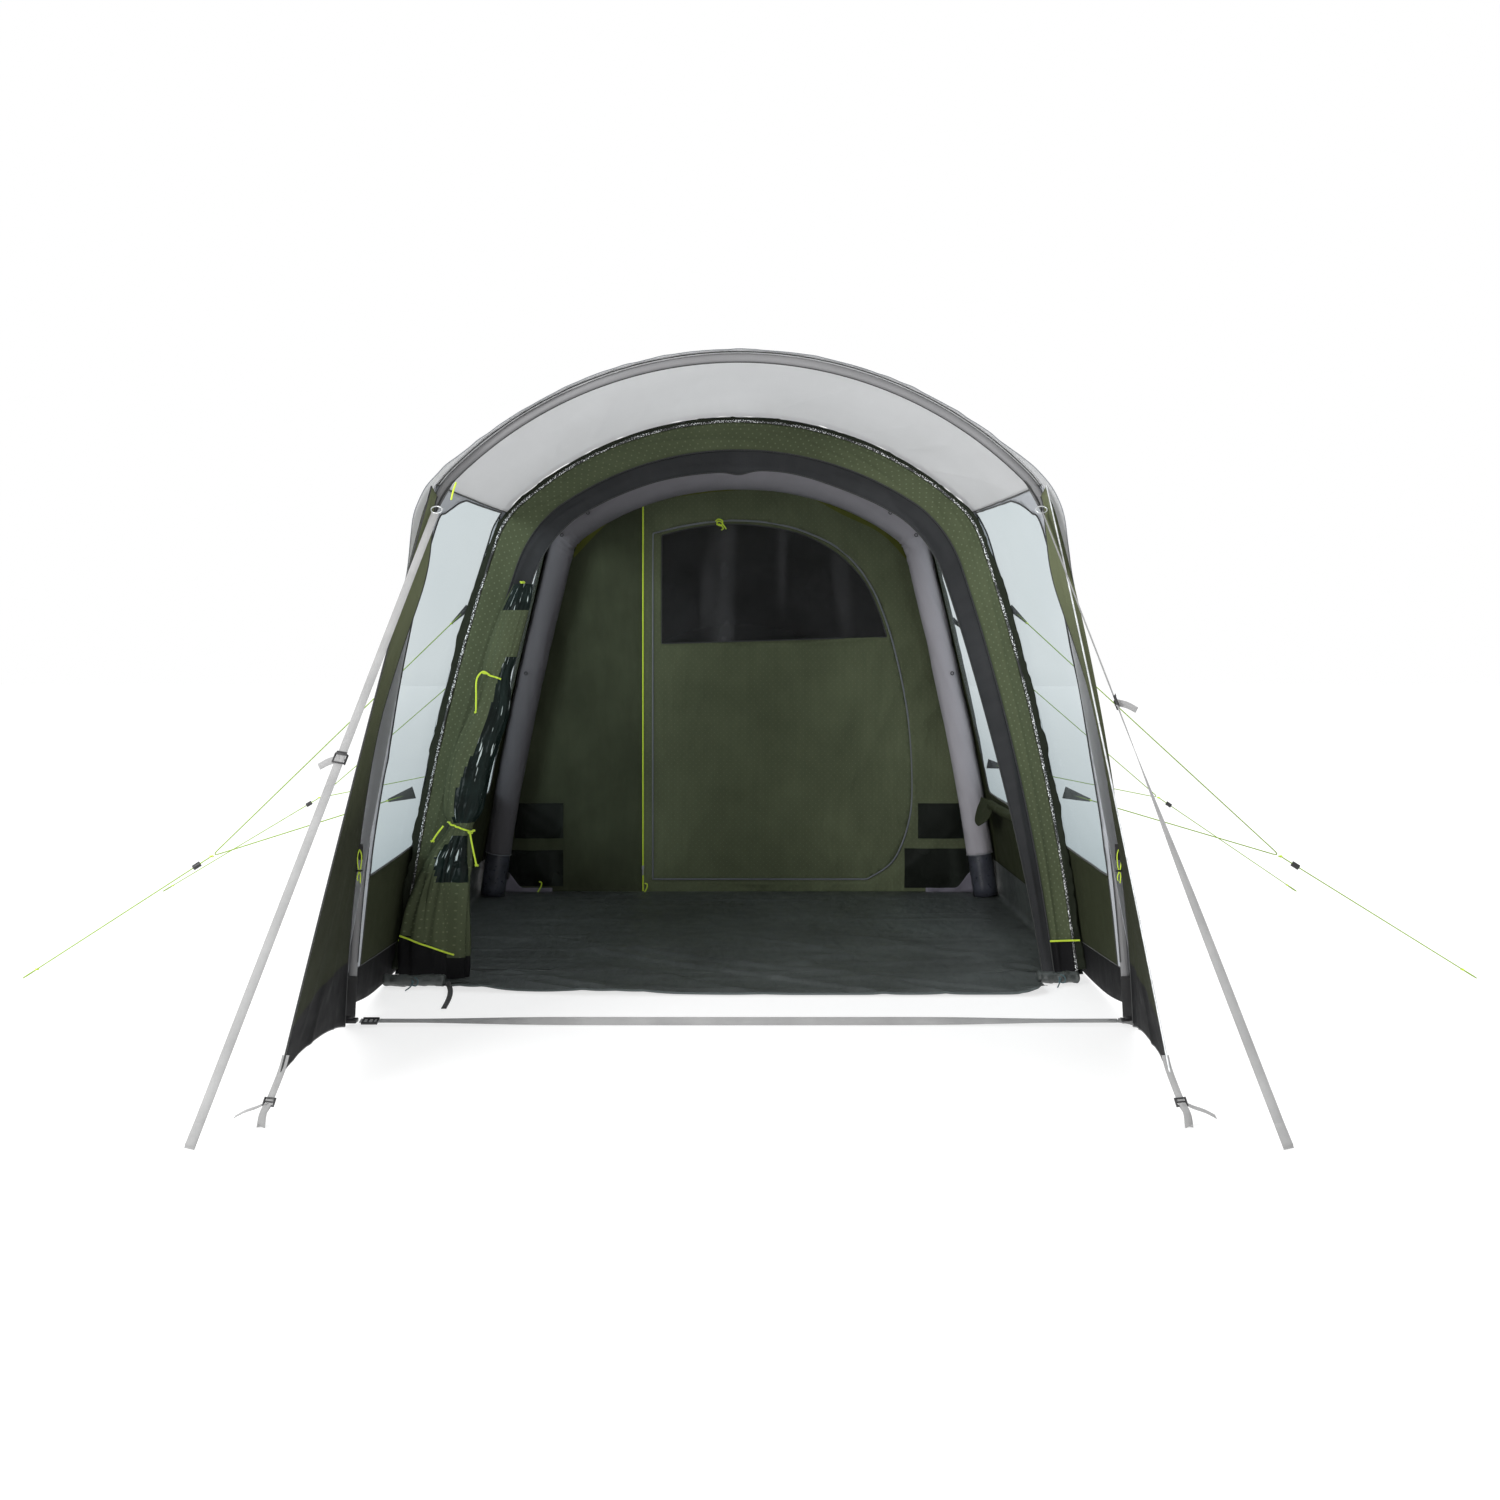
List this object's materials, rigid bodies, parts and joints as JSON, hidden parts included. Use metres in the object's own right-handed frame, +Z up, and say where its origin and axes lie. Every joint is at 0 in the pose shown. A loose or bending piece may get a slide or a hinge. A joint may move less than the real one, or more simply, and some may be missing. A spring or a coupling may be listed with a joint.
{
  "type": "inflatable tunnel tent",
  "caption": "Inflatable tunnel tent with a grey-roofed front porch, green walls, film windows, an inner sleeping tent, storm straps and guy lines.",
  "frame": {"origin": "on the ground, under the middle of the tent without its lines", "axes": "+Y from the porch to the rear wall, +X to the right as seen from the porch, +Z up"},
  "size_m": [5.4921, 5.5299, 2.0596],
  "materials": {
    "roof_fabric": "matt coated polyester, light grey",
    "green_fabric": "matt coated polyester with a fine dot ripstop",
    "dark_fabric": "matt black polyester",
    "window_film": "tinted clear film",
    "sleeve_fabric": "grey woven polyester",
    "bladder_film": "dark coated film",
    "pole_fibreglass": "satin dark grey",
    "valve_plastic": "black moulded",
    "ground_fabric": "woven polyethylene sheet, dark grey",
    "inner_fabric": "matt dark green polyester",
    "inner_mesh": "fine black mosquito mesh",
    "webbing": "light grey woven webbing",
    "buckle_plastic": "black moulded",
    "guy_cord": "bright lime braided cord",
    "zip_metal": "satin"
  },
  "bodies": {
    "tent": {"front_pole": "pole_fibreglass", "front_pole_sleeve": "sleeve_fabric", "front_air_tube": "bladder_film", "front_tube_sleeve": "sleeve_fabric", "front_valve_body": "valve_plastic", "middle_air_tube": "bladder_film", "middle_tube_sleeve": "sleeve_fabric", "middle_valve_body": "valve_plastic", "rear_air_tube": "bladder_film", "rear_tube_sleeve": "sleeve_fabric", "rear_valve_body": "valve_plastic", "porch_roof": "roof_fabric", "living_roof": "roof_fabric", "bedroom_roof": "roof_fabric", "porch_wall_left": "green_fabric", "living_wall_left": "green_fabric", "bedroom_wall_left": "green_fabric", "porch_window_left": "window_film", "living_window_left": "window_film", "wing_left": "green_fabric", "storm_strap_left": "webbing", "porch_wall_right": "green_fabric", "living_wall_right": "green_fabric", "bedroom_wall_right": "green_fabric", "porch_window_right": "window_film", "living_window_right": "window_film", "wing_right": "green_fabric", "storm_strap_right": "webbing", "rear_wall": "green_fabric", "door_wall": "green_fabric", "door_edge_band": "dark_fabric", "rolled_door": "green_fabric", "groundsheet": "ground_fabric", "inner_tent_body": "inner_fabric", "inner_front_wall": "inner_fabric", "threshold_strap": "webbing", "guy_v_line_front_left": "guy_cord", "guy_main_line_front_left": "guy_cord", "guy_v_line_front_right": "guy_cord", "guy_main_line_front_right": "guy_cord", "guy_v_line_rear_left": "guy_cord", "guy_main_line_rear_left": "guy_cord", "guy_v_line_rear_right": "guy_cord", "guy_main_line_rear_right": "guy_cord"},
    "inner_door": {"inner_door": "inner_fabric", "inner_door_mesh": "inner_mesh"},
    "zip_slider": {"zip_slider": "zip_metal"},
    "zip_pull": {"zip_pull": "zip_metal"},
    "strap_buckle_left": {"strap_buckle_left": "buckle_plastic"},
    "strap_buckle_right": {"strap_buckle_right": "buckle_plastic"},
    "guy_runner_front_left": {"guy_runner_front_left": "buckle_plastic"},
    "guy_runner_front_right": {"guy_runner_front_right": "buckle_plastic"},
    "guy_runner_rear_left": {"guy_runner_rear_left": "buckle_plastic"},
    "guy_runner_rear_right": {"guy_runner_rear_right": "buckle_plastic"},
    "front_valve_pin": {"front_valve_pin": "valve_plastic"},
    "front_valve_cap": {"front_valve_cap": "valve_plastic"},
    "middle_valve_pin": {"middle_valve_pin": "valve_plastic"},
    "middle_valve_cap": {"middle_valve_cap": "valve_plastic"},
    "rear_valve_pin": {"rear_valve_pin": "valve_plastic"},
    "rear_valve_cap": {"rear_valve_cap": "valve_plastic"}
  },
  "joints": [
    {"name": "inner_door_swing", "type": "hinge", "parent": "tent", "child": "inner_door", "pos_m": [-0.42, 0.53, 0.9], "axis": [0, 0, -1], "range_deg": [0, 100]},
    {"name": "zip_slide", "type": "slide", "parent": "tent", "child": "zip_slider", "axis": [0, 0, 1], "range_m": [0, 1.62]},
    {"name": "zip_pull_swing", "type": "hinge", "parent": "zip_slider", "child": "zip_pull", "pos_m": [-0.465, 0.5155, 0.118], "axis": [-1, 0, 0], "range_deg": [0, 160]},
    {"name": "strap_buckle_slide_left", "type": "slide", "parent": "tent", "child": "strap_buckle_left", "axis": [-0.1662, -0.5119, -0.8428], "range_m": [-0.35, 0.6]},
    {"name": "strap_buckle_slide_right", "type": "slide", "parent": "tent", "child": "strap_buckle_right", "axis": [0.1662, -0.5119, -0.8428], "range_m": [-0.35, 0.75]},
    {"name": "guy_runner_slide_front_left", "type": "slide", "parent": "tent", "child": "guy_runner_front_left", "axis": [-0.8359, -0.0519, -0.5464], "range_m": [0, 0.45]},
    {"name": "guy_runner_slide_front_right", "type": "slide", "parent": "tent", "child": "guy_runner_front_right", "axis": [0.8456, -0.0505, -0.5314], "range_m": [0, 0.45]},
    {"name": "guy_runner_slide_rear_left", "type": "slide", "parent": "tent", "child": "guy_runner_rear_left", "axis": [-0.8583, 0.077, -0.5073], "range_m": [0, 0.45]},
    {"name": "guy_runner_slide_rear_right", "type": "slide", "parent": "tent", "child": "guy_runner_rear_right", "axis": [0.8285, 0.0841, -0.5536], "range_m": [0, 0.45]},
    {"name": "front_valve_cap_hinge", "type": "hinge", "parent": "tent", "child": "front_valve_cap", "pos_m": [-1.08349, -1.0687, 0.08825], "axis": [0, 0.9919, -0.127], "range_deg": [0, 150]},
    {"name": "front_valve_pin_press", "type": "slide", "parent": "tent", "child": "front_valve_pin", "axis": [-0.9955, 0.012, 0.0939], "range_m": [0, 0.004], "stiffness_N_per_m": 200},
    {"name": "middle_valve_cap_hinge", "type": "hinge", "parent": "tent", "child": "middle_valve_cap", "pos_m": [-1.09577, 0.4, 0.08127], "axis": [0, 1, 0], "range_deg": [0, 150]},
    {"name": "middle_valve_pin_press", "type": "slide", "parent": "tent", "child": "middle_valve_pin", "axis": [-0.9899, 0, 0.1421], "range_m": [0, 0.004], "stiffness_N_per_m": 200},
    {"name": "rear_valve_cap_hinge", "type": "hinge", "parent": "tent", "child": "rear_valve_cap", "pos_m": [-0.92568, 2.60847, 0.08264], "axis": [0, 0.9806, 0.1961], "range_deg": [0, 150]},
    {"name": "rear_valve_pin_press", "type": "slide", "parent": "tent", "child": "rear_valve_pin", "axis": [-0.9905, -0.027, 0.135], "range_m": [0, 0.004], "stiffness_N_per_m": 200}
  ]
}
